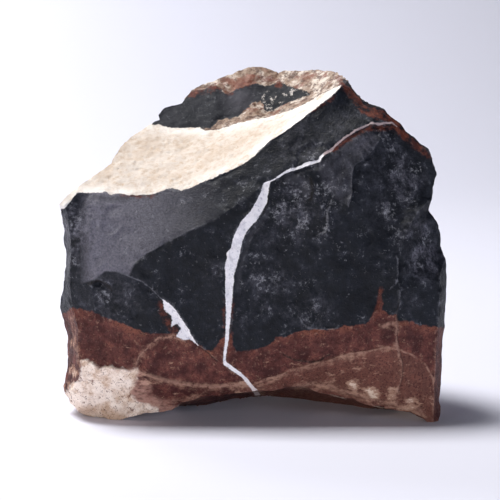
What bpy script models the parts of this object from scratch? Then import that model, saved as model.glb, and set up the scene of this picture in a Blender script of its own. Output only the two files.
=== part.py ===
"""A rough sardonyx: one broken piece of a banded chalcedony nodule.

The front is a fresh fracture of dished faces that meet in ridges. Its top edge is
the brim of an old cortex, which slopes up and back to a crest. The underside is
arched and stands on small flats. Everything is one closed solid.

Lengths in the tables are millimetres. The front's curves are drawn on a board that
faces the eye, as (across, up, depth): across and up are read on the board, and depth
is the true distance behind the stone's front plane, along +Y.
"""

import math

import bmesh
import bpy
import numpy as np
from mathutils import Vector, noise
from mathutils.geometry import delaunay_2d_cdt

MM = 0.001
NODE_NAME = "stone"

# The board: the eye looks along +Y and down, at a point halfway up the stone. The
# board's zero line is lifted a little, so that both front feet reach the ground.
EYE_DISTANCE = 450.0
EYE_TILT = math.radians(8.0)
BOARD_MIDDLE = 34.0
BOARD_LIFT = 0.5

# How finely the skins are meshed, and how much they sink between their ridges.
FRONT_SPACING = 1.6
CURVE_SPACING = 1.7
WELD_WITHIN = 0.45
CAP_SPACING = 3.4
FRONT_DISH = 0.020
CAP_BULGE = 0.012

# How the body runs back from the outline to its rear face: it narrows about its
# axis, given across and up, while its underside sinks to the belly's level.
BACK_DEPTH = 50.0
BACK_RINGS = 11
BACK_SHRINK = 0.40
SHRINK_POWER = 2.3
BODY_AXIS = (1.0, 31.0)
BELLY_LEVEL = -0.9
BELLY_REACHED = 0.42

# Outline, clockwise from the lower left foot.
LEFT_SIDE = [
    (-31.2, 1.0, 9.4), (-32.8, 1.7, 9.6), (-34.8, 3.1, 10.0), (-36.4, 4.6, 11.0),
    (-37.7, 6.6, 12.0), (-38.0, 8.2, 12.0), (-37.4, 11.0, 12.5), (-37.2, 14.0, 13.0),
    (-37.5, 18.0, 13.0), (-38.3, 22.0, 12.0), (-38.8, 24.0, 12.0), (-38.2, 27.4, 12.0),
    (-37.7, 31.0, 11.5), (-37.8, 36.0, 10.0), (-38.1, 40.0, 8.0), (-38.5, 43.2, 5.4),
    (-38.9, 44.5, 4.0),
]
CORTEX_EDGE = [
    (-37.2, 46.2, 5.5), (-35.0, 48.0, 8.0), (-32.2, 50.0, 12.0), (-30.0, 51.6, 15.0),
    (-28.5, 52.7, 16.5), (-28.0, 54.0, 18.0), (-26.7, 55.8, 21.0), (-25.0, 57.1, 23.5),
    (-23.4, 58.7, 26.0), (-20.8, 60.3, 28.5), (-18.7, 61.5, 30.0),
]
CREST_TOP = [
    (-19.0, 62.4, 30.5), (-18.0, 63.5, 31.5), (-16.2, 64.2, 32.5), (-14.2, 64.7, 33.0),
    (-13.2, 66.4, 35.0), (-11.0, 68.0, 36.5), (-8.2, 69.2, 38.0), (-4.6, 70.4, 39.0),
    (-1.8, 71.6, 40.0), (0.8, 72.0, 40.0), (3.4, 71.4, 40.0), (5.0, 70.6, 39.5),
    (6.2, 71.1, 39.0), (9.4, 71.2, 37.0), (13.4, 71.2, 33.5), (17.0, 70.6, 27.0),
    (18.9, 69.2, 19.5), (20.8, 66.6, 16.5), (23.2, 64.8, 15.8), (26.6, 63.7, 15.6),
    (27.9, 62.4, 15.2), (29.7, 61.0, 15.0), (30.7, 59.2, 14.5), (33.0, 57.6, 14.5),
    (34.9, 55.5, 14.5), (36.3, 52.6, 13.5),
]
RIGHT_SIDE = [
    (36.8, 50.4, 13.0), (36.1, 47.8, 12.0), (36.0, 45.8, 11.5), (35.4, 43.3, 10.5),
    (36.8, 41.2, 11.0), (37.8, 38.8, 11.5), (37.7, 36.2, 11.0), (38.6, 33.6, 10.5),
    (38.8, 28.0, 10.0), (38.6, 21.4, 9.5), (38.0, 14.4, 9.0), (37.6, 7.8, 8.0),
    (37.5, 3.8, 6.5), (37.1, 1.2, 5.0), (36.0, 0.2, 4.2),
]
LOWER_EDGE = [
    (34.2, 1.4, 3.5), (31.4, 2.7, 3.5), (27.4, 3.5, 4.0), (22.4, 4.4, 4.5),
    (19.4, 5.4, 5.0), (15.0, 6.1, 5.5), (11.6, 7.3, 5.0), (9.8, 7.9, 4.0),
    (6.4, 7.6, 3.5), (2.6, 7.0, 3.2), (-1.8, 6.8, 3.4), (-6.6, 6.2, 3.6),
    (-10.6, 5.5, 3.8), (-14.4, 4.5, 4.0), (-16.6, 3.2, 4.6), (-21.6, 2.6, 5.0),
    (-24.8, 1.7, 5.6), (-27.0, 1.3, 6.2), (-29.2, 1.3, 6.8),
]

# Ridges and breaks of the front. Curves that end on one another share that point.
FRONT_CURVES = {
    "brim": [
        (-38.9, 44.5, 4.0), (-37.6, 43.9, 3.6), (-36.6, 45.2, 4.4), (-35.2, 47.0, 5.6),
        (-33.0, 46.8, 6.6), (-30.2, 47.0, 7.4), (-26.6, 46.8, 7.4), (-22.6, 46.4, 7.0),
        (-19.4, 46.7, 6.7), (-17.6, 47.5, 6.7), (-14.4, 47.2, 6.2), (-10.6, 48.8, 6.0),
        (-5.6, 51.0, 6.0), (-1.6, 52.9, 6.3), (0.6, 54.5, 6.7), (3.4, 57.2, 7.5),
        (7.4, 60.0, 8.6), (12.0, 63.4, 10.6), (16.0, 66.5, 13.2), (17.6, 68.2, 15.4),
        (18.9, 69.2, 19.5),
    ],
    "crest foot": [
        (-20.8, 60.3, 28.5), (-17.0, 59.9, 28.2), (-13.6, 59.8, 28.0), (-10.6, 60.0, 28.0),
        (-8.4, 59.7, 27.4), (-6.9, 61.2, 29.4), (-3.0, 62.1, 30.0), (0.0, 64.7, 33.4),
        (2.6, 63.0, 31.0), (6.4, 64.6, 30.5), (11.4, 66.4, 28.0), (14.8, 68.4, 25.5),
        (17.0, 70.6, 27.0),
    ],
    "crust edge": [
        (-13.2, 66.4, 35.0), (-9.2, 67.8, 35.6), (-7.2, 68.1, 35.8), (-5.0, 66.7, 34.6),
        (-2.2, 68.0, 35.6), (0.4, 68.7, 36.2), (2.6, 68.6, 36.2),
    ],
    "crest corner": [
        (-8.0, 67.4, 34.6), (-7.4, 64.6, 31.6), (-6.9, 61.2, 29.4),
    ],
    "left arris": [
        (-37.6, 43.9, 3.6), (-36.9, 39.4, 3.4), (-36.6, 34.0, 3.4), (-36.9, 28.4, 4.0),
        (-36.4, 23.8, 4.6), (-35.1, 19.4, 3.8), (-35.4, 16.8, 4.4), (-35.0, 13.4, 3.4),
        (-35.0, 9.6, 3.4), (-36.2, 7.4, 5.6), (-34.2, 4.6, 6.0),
    ],
    "strip edge": [
        (-30.2, 47.0, 7.4), (-31.6, 44.4, 5.2), (-32.6, 40.0, 3.2), (-32.9, 34.0, 2.2),
        (-32.6, 29.0, 1.6), (-32.2, 25.4, 1.6), (-31.4, 22.6, 2.0),
    ],
    "long ridge": [
        (-32.6, 29.0, 1.6), (-31.4, 29.8, 1.3), (-29.6, 31.2, 1.2), (-26.6, 31.0, 1.0),
        (-25.0, 29.8, 0.9), (-24.2, 31.8, 0.8), (-22.8, 33.6, 0.8), (-19.6, 35.6, 0.8),
        (-15.6, 37.8, 1.0), (-12.6, 39.4, 1.1), (-8.6, 41.0, 1.2), (-4.6, 43.7, 1.6),
        (-0.6, 46.2, 2.3), (2.2, 49.0, 3.4),
    ],
    "vein ridge": [
        (2.2, 49.0, 3.4), (4.4, 49.7, 3.2), (6.2, 50.9, 3.5), (9.4, 52.0, 4.0),
        (13.4, 53.3, 4.6), (14.3, 54.9, 5.2), (16.4, 56.4, 6.2), (20.4, 59.4, 8.4),
        (23.4, 60.9, 10.4), (26.0, 60.8, 11.8), (28.4, 60.6, 14.0),
    ],
    "shoulder": [
        (26.0, 60.8, 11.8), (25.6, 57.8, 9.2), (24.6, 56.0, 8.0), (22.2, 53.5, 5.8),
        (20.4, 52.3, 4.8), (20.0, 50.6, 4.0), (20.0, 47.2, 2.8), (19.2, 44.2, 1.8),
    ],
    "hollow edge": [
        (13.4, 53.3, 4.6), (11.8, 50.6, 3.9), (11.7, 48.4, 2.8), (13.0, 45.0, 2.2),
        (15.2, 42.0, 1.3), (14.6, 38.6, 0.6),
    ],
    "right arris": [
        (38.6, 33.6, 10.5), (37.6, 30.6, 6.0), (37.7, 27.4, 4.6), (37.4, 24.2, 4.0),
        (37.1, 20.6, 3.6), (36.6, 17.0, 3.4), (36.5, 9.4, 3.0), (36.2, 3.6, 2.8),
        (36.0, 0.2, 4.2),
    ],
    "right fold": [
        (29.3, 33.2, 2.6), (29.1, 29.6, 1.2), (29.6, 26.0, 0.8), (28.8, 22.4, 0.7),
        (29.0, 18.2, 0.6), (29.8, 13.2, 0.9), (29.6, 8.8, 1.6), (27.4, 3.5, 4.0),
    ],
    "upper fold": [
        (36.0, 45.8, 11.5), (33.4, 43.4, 6.6), (31.0, 39.4, 4.0), (29.3, 33.2, 2.6),
    ],
    "left ledge": [
        (-36.4, 23.8, 4.6), (-31.4, 22.6, 2.0), (-26.6, 20.8, 1.1), (-21.6, 18.8, 0.6),
        (-15.6, 18.4, 0.3), (-10.8, 16.2, 0.2), (-5.8, 12.8, 0.7),
    ],
    "inner arc": [
        (-25.0, 29.8, 0.9), (-20.6, 27.8, 0.5), (-18.6, 25.8, 0.4), (-16.2, 24.0, 0.3),
        (-13.6, 20.6, 0.3), (-10.8, 16.2, 0.2),
    ],
    "vein line": [
        (2.2, 49.0, 3.4), (-0.4, 43.4, 1.5), (-3.2, 39.4, 0.9), (-4.6, 35.0, 0.4),
        (-5.5, 29.0, 0.1), (-5.5, 21.4, 0.0), (-5.8, 12.8, 0.7), (-2.6, 9.8, 1.2),
        (0.4, 7.0, 3.2),
    ],
    "right ledge": [
        (-5.6, 17.6, 0.2), (-1.2, 15.2, 0.3), (3.0, 16.2, 0.1), (6.6, 18.0, 0.0),
        (10.4, 19.4, 0.0), (16.8, 19.6, 0.1), (22.0, 20.6, 0.2), (24.8, 23.0, 0.4),
    ],
    "scallop": [
        (-21.6, 18.8, 0.6), (-22.9, 14.4, 0.5), (-23.2, 11.4, 0.7), (-19.0, 9.6, 1.0),
        (-12.6, 8.2, 1.3), (-5.0, 8.0, 1.7), (-2.6, 9.8, 1.2),
    ],
    "lower right line": [
        (-2.6, 9.8, 1.2), (2.4, 9.6, 1.2), (6.0, 10.6, 0.8), (10.4, 12.0, 0.5),
        (15.4, 13.2, 0.4), (19.4, 14.6, 0.3), (25.2, 15.6, 0.4), (29.0, 18.2, 0.6),
    ],
    "cream edge": [
        (-35.0, 13.4, 3.4), (-31.6, 12.3, 1.9), (-26.6, 11.5, 0.9), (-23.2, 11.4, 0.7),
    ],
}

# Flakes struck off the unseen sides, in space: where, facing which way, how round
# the scar is (its radius) and how deep it bites.
SCARS = {
    "left side": ((-37.0, 30.0, 28.0), (-1.0, 0.32, 0.05), 90.0, 2.2),
    "left rear": ((-28.0, 41.0, 38.0), (-0.75, 0.85, 0.25), 100.0, 5.5),
    "left base": ((-29.0, 36.0, 6.0), (-0.70, 0.60, -0.50), 60.0, 4.5),
    "right side": ((38.0, 28.0, 18.0), (1.0, 0.32, -0.12), 110.0, 2.2),
    "right shoulder": ((31.0, 33.0, 52.0), (0.75, 0.60, 0.45), 120.0, 4.6),
    "right rear": ((28.0, 42.0, 32.0), (0.75, 0.90, 0.05), 75.0, 4.8),
    "rear upper": ((2.0, 47.0, 50.0), (0.05, 0.97, 0.22), 100.0, 3.4),
    "rear middle": ((-8.0, 48.0, 32.0), (-0.22, 1.0, 0.05), 95.0, 3.4),
    "rear right": ((15.0, 47.0, 22.0), (0.30, 1.0, -0.22), 70.0, 3.4),
    "rear base": ((-4.0, 45.0, 8.0), (-0.10, 0.80, -0.55), 60.0, 4.5),
    "arch": ((4.0, 15.0, 2.2), (0.05, -0.30, -1.0), 46.0, 2.2),
    "belly": ((-3.0, 28.0, 0.0), (0.0, 0.1, -1.0), 70.0, 2.4),
}


def at_depth(across, up, depth):
    """Points in space, in mm, seen at these places of the board and this far back."""
    forward = np.array([0.0, math.cos(EYE_TILT), -math.sin(EYE_TILT)])
    upward = np.array([0.0, math.sin(EYE_TILT), math.cos(EYE_TILT)])
    middle = np.array([0.0, 0.0, BOARD_MIDDLE])
    eye = middle - EYE_DISTANCE * forward
    rays = middle - eye + np.outer(across, (1.0, 0.0, 0.0))
    rays = rays + np.outer(np.asarray(up) + BOARD_LIFT - BOARD_MIDDLE, upward)
    reach = (np.asarray(depth) - eye[1]) / rays[:, 1]
    return eye + rays * reach[:, None]


def smooth_run(points, spacing, closed=False):
    """Evenly spaced samples of the curve that passes through every given point."""
    points = np.asarray(points, float)
    if closed:
        padded = np.vstack([points[-1], points, points[0], points[1]])
    else:
        padded = np.vstack([points[0], points, points[-1]])
    samples = []
    for a, b, c, d in zip(padded, padded[1:], padded[2:], padded[3:]):
        steps = max(1, round(np.linalg.norm((c - b)[:2]) / spacing))
        for step in range(steps):
            t = step / steps
            bend = (2 * a - 5 * b + 4 * c - d) * t + (3 * b - a - 3 * c + d) * t * t
            samples.append(b + 0.5 * t * ((c - a) + bend))
    if not closed:
        samples.append(points[-1])
    return np.array(samples)


class Sketch:
    """Points, links and pinned depths of one sheet, drawn flat before it is meshed."""

    def __init__(self):
        self.places = []
        self.depths = []
        self.links = []

    def point(self, place, depth):
        for index, known in enumerate(self.places):
            if np.hypot(*(known - place)) < WELD_WITHIN:
                return index
        self.places.append(np.array(place))
        self.depths.append(depth)
        return len(self.places) - 1

    def loop(self, samples):
        """The outline, drawn first: every sample stays a point of its own."""
        self.places = [sample[:2] for sample in samples]
        self.depths = [sample[2] for sample in samples]
        found = list(range(len(samples)))
        self.links = list(zip(found, found[1:] + found[:1]))
        return found

    def curve(self, samples):
        found = [self.point(sample[:2], sample[2]) for sample in samples]
        self.links += [(a, b) for a, b in zip(found, found[1:]) if a != b]


def inside(places, loop):
    """Which places lie inside a closed loop of points."""
    result = np.zeros(len(places), bool)
    for (x1, y1), (x2, y2) in zip(loop, np.roll(loop, -1, axis=0)):
        crosses = (y1 > places[:, 1]) != (y2 > places[:, 1])
        rise = (y2 - y1) if y2 != y1 else 1.0
        result ^= crosses & (places[:, 0] < (x2 - x1) * (places[:, 1] - y1) / rise + x1)
    return result


def filling(loop, drawn, spacing):
    """A staggered grid inside the loop that keeps clear of everything drawn."""
    low, high = loop.min(axis=0), loop.max(axis=0)
    rows = np.arange(low[1], high[1], spacing * math.sqrt(0.75))
    grid = [
        (x + (row % 2) * spacing / 2, y)
        for row, y in enumerate(rows)
        for x in np.arange(low[0], high[0], spacing)
    ]
    grid = np.array(grid)
    grid = grid[inside(grid, loop)]
    gaps = np.linalg.norm(grid[:, None] - drawn[None], axis=2).min(axis=1)
    return grid[gaps > 0.72 * spacing]


def relax(places, faces, pinned, dish):
    """Depths of a skin stretched between the pinned points, dished by the given amount."""
    count = len(places)
    stiffness = np.zeros((count, count))
    load = np.zeros(count)
    for corner in range(3):
        a, b, c = (faces[:, (corner + turn) % 3] for turn in range(3))
        first, second = places[b] - places[a], places[c] - places[a]
        area = np.abs(first[:, 0] * second[:, 1] - first[:, 1] * second[:, 0])
        weight = (first * second).sum(axis=1) / np.maximum(area, 1e-9) / 2
        for i, j, sign in ((b, c, -1), (c, b, -1), (b, b, 1), (c, c, 1)):
            np.add.at(stiffness, (i, j), sign * weight)
        np.add.at(load, a, dish * area / 6)
    held = np.array(sorted(pinned))
    values = np.array([pinned[index] for index in held])
    free = np.setdiff1d(np.arange(count), held)
    depths = np.empty(count)
    depths[held] = values
    push = load[free] - stiffness[np.ix_(free, held)] @ values
    depths[free] = np.linalg.solve(stiffness[np.ix_(free, free)], push)
    return depths


def sheet(outline, curves, spacing, dish):
    """Places, depths, faces and the outline's indices of one meshed and relaxed sheet."""
    sketch = Sketch()
    ring = sketch.loop(outline)
    for samples in curves:
        sketch.curve(samples)
    drawn = np.array(sketch.places)
    extra = filling(drawn[ring], drawn, spacing)
    points = [Vector(p) for p in np.vstack([drawn, extra])]
    made = delaunay_2d_cdt(points, sketch.links, [], 0, 1e-5, True)
    places = np.array([tuple(p) for p in made[0]])
    faces = np.array([face for face in made[2]])
    faces = faces[inside(places[faces].mean(axis=1), drawn[ring])]
    was = {}
    for index, sources in enumerate(made[3]):
        for source in sources:
            was[source] = index
    pinned = {was[i]: sketch.depths[i] for i in range(len(drawn)) if i in was}
    depths = relax(places, faces, pinned, dish)
    return places, depths, faces, [was[i] for i in ring]


def front_sheet():
    outline = LEFT_SIDE + CORTEX_EDGE + CREST_TOP + RIGHT_SIDE + LOWER_EDGE
    samples = smooth_run(outline, CURVE_SPACING, closed=True)
    curves = [smooth_run(points, CURVE_SPACING) for points in FRONT_CURVES.values()]
    places, depths, faces, ring = sheet(samples, curves, FRONT_SPACING, FRONT_DISH)
    return at_depth(places[:, 0], places[:, 1], depths), faces, ring


def eased(t, start, end):
    s = np.clip((t - start) / (end - start), 0.0, 1.0)
    return s * s * (3 - 2 * s)


def softened(values, rounds):
    for _ in range(rounds):
        values = (np.roll(values, 1, axis=0) + 2 * values + np.roll(values, -1, axis=0)) / 4
    return values


def body_rings(edge):
    """Rings that carry the outline back: they lose its small bumps, sag and shrink."""
    axis = np.array(BODY_AXIS)
    plain = softened(edge, 10)
    below = eased(-edge[:, 2], -16.0, -6.0)
    rings = []
    for step in range(1, BACK_RINGS + 1):
        t = step / BACK_RINGS
        calm = edge + (plain - edge) * eased(t, 0.0, 0.3)
        flat = axis + (calm[:, [0, 2]] - axis) * (1 - BACK_SHRINK * t**SHRINK_POWER)
        sunk = eased(t, 0.0, BELLY_REACHED) * below * (1 - 0.9 * eased(t, 0.8, 1.0))
        height = flat[:, 1] + (BELLY_LEVEL - flat[:, 1]) * sunk
        depth = calm[:, 1] + (BACK_DEPTH - 4.0 - calm[:, 1]) * t
        rings.append(np.column_stack([flat[:, 0], depth, height]))
    return rings


def back_cap(ring):
    """The rear face inside the last ring: places and depths, then its faces."""
    outline = ring[:, [0, 2, 1]]
    places, depths, faces, loop = sheet(outline, [], CAP_SPACING, CAP_BULGE)
    return np.column_stack([places[:, 0], depths, places[:, 1]]), faces, loop


def lumps(point, size, seed):
    return noise.noise(Vector(point) / size + Vector((seed, 2.0 * seed, -seed)))


def roughen(points, first_back):
    """Waves of an uneven break on the front, and larger lumps on the unseen crust."""
    middle = np.array([0.0, 22.0, 30.0])
    for index, point in enumerate(points):
        outward = (point - middle) / np.linalg.norm(point - middle)
        amount = 0.12 * lumps(point, 5.0, 3.1)
        if index >= first_back:
            reach = eased(point[1], 8.0, 24.0)
            rise = lumps(point, 15.0, 7.7) - 0.45 + 0.3 * lumps(point, 6.0, 1.3)
            amount = 1.7 * reach * rise
        elif point[1] > 9.0:
            amount += 0.35 * eased(point[1], 9.0, 16.0) * lumps(point, 4.2, 5.9)
        points[index] = point + outward * amount
    return points


def build_body():
    front, front_faces, ring = front_sheet()
    rings = body_rings(front[ring])
    cap, cap_faces, cap_loop = back_cap(rings[-1])
    points = [front] + rings[:-1] + [cap]
    starts = np.cumsum([0] + [len(group) for group in points])
    loops = [np.array(ring)]
    loops += [starts[k + 1] + np.arange(len(ring)) for k in range(len(rings) - 1)]
    loops.append(starts[-2] + np.array(cap_loop))
    faces = [tuple(face) for face in front_faces]
    faces += [tuple(face[::-1]) for face in cap_faces + starts[-2]]
    for near, far in zip(loops, loops[1:]):
        for a, b, c, d in zip(near, np.roll(near, -1), np.roll(far, -1), far):
            faces += [(a, b, c), (a, c, d)]
    return roughen(np.vstack(points), len(front)), faces


def mesh_object(name, points, faces):
    mesh = bpy.data.meshes.new(name)
    work = bmesh.new()
    verts = [work.verts.new(point) for point in points * MM]
    for face in faces:
        work.faces.new([verts[index] for index in face])
    bmesh.ops.recalc_face_normals(work, faces=work.faces)
    work.to_mesh(mesh)
    work.free()
    thing = bpy.data.objects.new(name, mesh)
    bpy.context.scene.collection.objects.link(thing)
    return thing


def cutter(name, work):
    mesh = bpy.data.meshes.new(name)
    work.to_mesh(mesh)
    work.free()
    thing = bpy.data.objects.new(name, mesh)
    bpy.context.scene.collection.objects.link(thing)
    thing.hide_render = True
    thing.display_type = "WIRE"
    return thing


def scar_cutter(name, place, facing, radius, bite):
    middle = Vector(place) + Vector(facing).normalized() * (radius - bite)
    work = bmesh.new()
    bmesh.ops.create_icosphere(work, subdivisions=5, radius=radius * MM)
    bmesh.ops.translate(work, vec=middle * MM, verts=work.verts)
    return cutter(name, work)


def ground_cutter():
    work = bmesh.new()
    bmesh.ops.create_cube(work, size=200.0 * MM)
    bmesh.ops.translate(work, vec=(0.0, 0.0, -100.0 * MM), verts=work.verts)
    return cutter("ground", work)


def cut(stone, tool):
    step = stone.modifiers.new(tool.name, "BOOLEAN")
    step.operation = "DIFFERENCE"
    step.object = tool


def settle(stone):
    """Bakes the cuts into the mesh and sets the origin under the middle of its box."""
    graph = bpy.context.evaluated_depsgraph_get()
    mesh = bpy.data.meshes.new_from_object(stone.evaluated_get(graph))
    stone.modifiers.clear()
    stone.data = mesh
    work = bmesh.new()
    work.from_mesh(mesh)
    bmesh.ops.triangulate(work, faces=work.faces)
    bmesh.ops.dissolve_degenerate(work, dist=0.05 * MM, edges=work.edges)
    bmesh.ops.triangulate(work, faces=work.faces)
    corners = np.array([vert.co[:] for vert in work.verts])
    low, high = corners.min(axis=0), corners.max(axis=0)
    shift = Vector(((low[0] + high[0]) / 2, (low[1] + high[1]) / 2, low[2]))
    bmesh.ops.translate(work, vec=-shift, verts=work.verts)
    work.to_mesh(mesh)
    work.free()
    print("triangles", len(mesh.polygons), "shift mm", tuple(shift / MM))


def stone_material():
    material = bpy.data.materials.new("banded chalcedony")
    material.use_nodes = True
    shader = material.node_tree.nodes["Principled BSDF"]
    shader.inputs["Base Color"].default_value = (0.035, 0.036, 0.045, 1.0)
    shader.inputs["Roughness"].default_value = 0.5
    return material


def main():
    for thing in list(bpy.data.objects):
        bpy.data.objects.remove(thing)
    stone = mesh_object(NODE_NAME, *build_body())
    tools = [scar_cutter(name, *scar) for name, scar in SCARS.items()]
    tools.append(ground_cutter())
    for tool in tools:
        cut(stone, tool)
    bpy.context.view_layer.update()
    settle(stone)
    for tool in tools:
        bpy.data.objects.remove(tool)
    stone.data.materials.append(stone_material())


main()
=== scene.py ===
import math

import bmesh
import bpy
import numpy as np
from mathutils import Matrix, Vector, noise
from mathutils.bvhtree import BVHTree


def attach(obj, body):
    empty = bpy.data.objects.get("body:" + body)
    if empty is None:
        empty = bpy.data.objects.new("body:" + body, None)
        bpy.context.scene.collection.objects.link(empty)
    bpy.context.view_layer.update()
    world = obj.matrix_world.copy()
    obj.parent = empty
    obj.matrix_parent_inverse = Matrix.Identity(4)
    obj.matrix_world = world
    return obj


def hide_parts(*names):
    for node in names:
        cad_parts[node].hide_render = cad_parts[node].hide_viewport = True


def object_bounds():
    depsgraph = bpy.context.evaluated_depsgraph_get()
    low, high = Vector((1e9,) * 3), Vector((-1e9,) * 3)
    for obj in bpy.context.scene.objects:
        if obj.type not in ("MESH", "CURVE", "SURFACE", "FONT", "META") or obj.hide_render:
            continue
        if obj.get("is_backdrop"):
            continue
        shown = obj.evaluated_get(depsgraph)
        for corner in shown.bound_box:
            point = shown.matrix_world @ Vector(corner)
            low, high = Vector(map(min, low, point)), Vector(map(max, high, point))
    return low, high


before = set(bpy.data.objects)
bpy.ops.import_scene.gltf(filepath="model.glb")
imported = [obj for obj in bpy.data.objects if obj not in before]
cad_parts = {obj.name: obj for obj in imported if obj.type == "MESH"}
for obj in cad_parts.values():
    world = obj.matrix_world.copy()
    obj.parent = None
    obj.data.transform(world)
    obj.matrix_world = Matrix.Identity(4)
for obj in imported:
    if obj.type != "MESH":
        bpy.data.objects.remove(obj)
cadLow, cadHigh = (Vector(corner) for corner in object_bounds())
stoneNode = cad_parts["stone"]
mm = 0.001
chance = np.random.default_rng(11)

# the eye, shared by the camera and by everything drawn on the front
eye = {
    "distance": 450.0,  # mm from the stone's front plane
    "tilt": math.radians(8.0),  # looking down
    "height": 34.0,  # mm above the ground, where it looks
    "across": 0.1,  # mm, sideways offset of the drawing
    "unitsAcross": 500,  # the width of the view in view units
    "unit": 0.2,  # mm per view unit at the front plane
    "centre": (253.0, 259.5),  # where the line of sight meets the view
    "sensor": 36.0,  # mm
    "nearest": 10.0,  # mm, closer than this isn't drawn
}
unit = eye["unit"]
forward = np.array([0.0, math.cos(eye["tilt"]), -math.sin(eye["tilt"])])
upward = np.array([0.0, math.sin(eye["tilt"]), math.cos(eye["tilt"])])
sightPoint = np.array([eye["across"], cadLow.y / mm, eye["height"]])
eyePoint = sightPoint - eye["distance"] * forward


# where points in mm stand in the view
def toView(points):
    rays = points - eyePoint
    reach = rays @ forward
    across = rays[:, 0] * eye["distance"] / reach / unit
    up = (rays @ upward) * eye["distance"] / reach / unit
    return np.column_stack([eye["centre"][0] + across, eye["centre"][1] - up])


# the ray from the eye through a place in the view
def fromView(x, y):
    across = (x - eye["centre"][0]) * unit
    up = (eye["centre"][1] - y) * unit
    ray = forward * eye["distance"] + np.array([across, 0.0, 0.0]) + upward * up
    return Vector(eyePoint), Vector(ray).normalized()


# runs that an outline shares with another or with a line, in view units across and down
rim = [(205, 131), (215, 130), (225, 128), (235, 124), (245, 121.5), (258, 119), (270, 117), (278, 114),
       (288, 111), (300, 106), (310, 101), (320, 95), (330, 90)]
hollow = [(261, 101), (263, 104), (266, 112), (271, 112), (276, 109), (285, 104), (298, 99), (310, 95),
          (308, 92), (300, 90), (293, 88)]
facet = [(376, 147), (370, 154), (364, 160), (358, 161.5), (355, 166), (353, 172), (352.5, 180), (353, 190),
         (351, 198)]
notch = [(167, 302), (172, 306), (176, 311), (180, 317), (185, 324), (189, 330), (191, 335), (195, 341)]
footTop = [(84, 360), (93, 363), (95, 366), (100, 368), (110, 366.5), (120, 369), (130, 371)]
ledgeLip = [(270, 379), (283, 375), (290, 370), (305, 367), (320, 362), (330, 361), (340, 357), (350, 354),
            (363, 353), (380, 349)]

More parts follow.
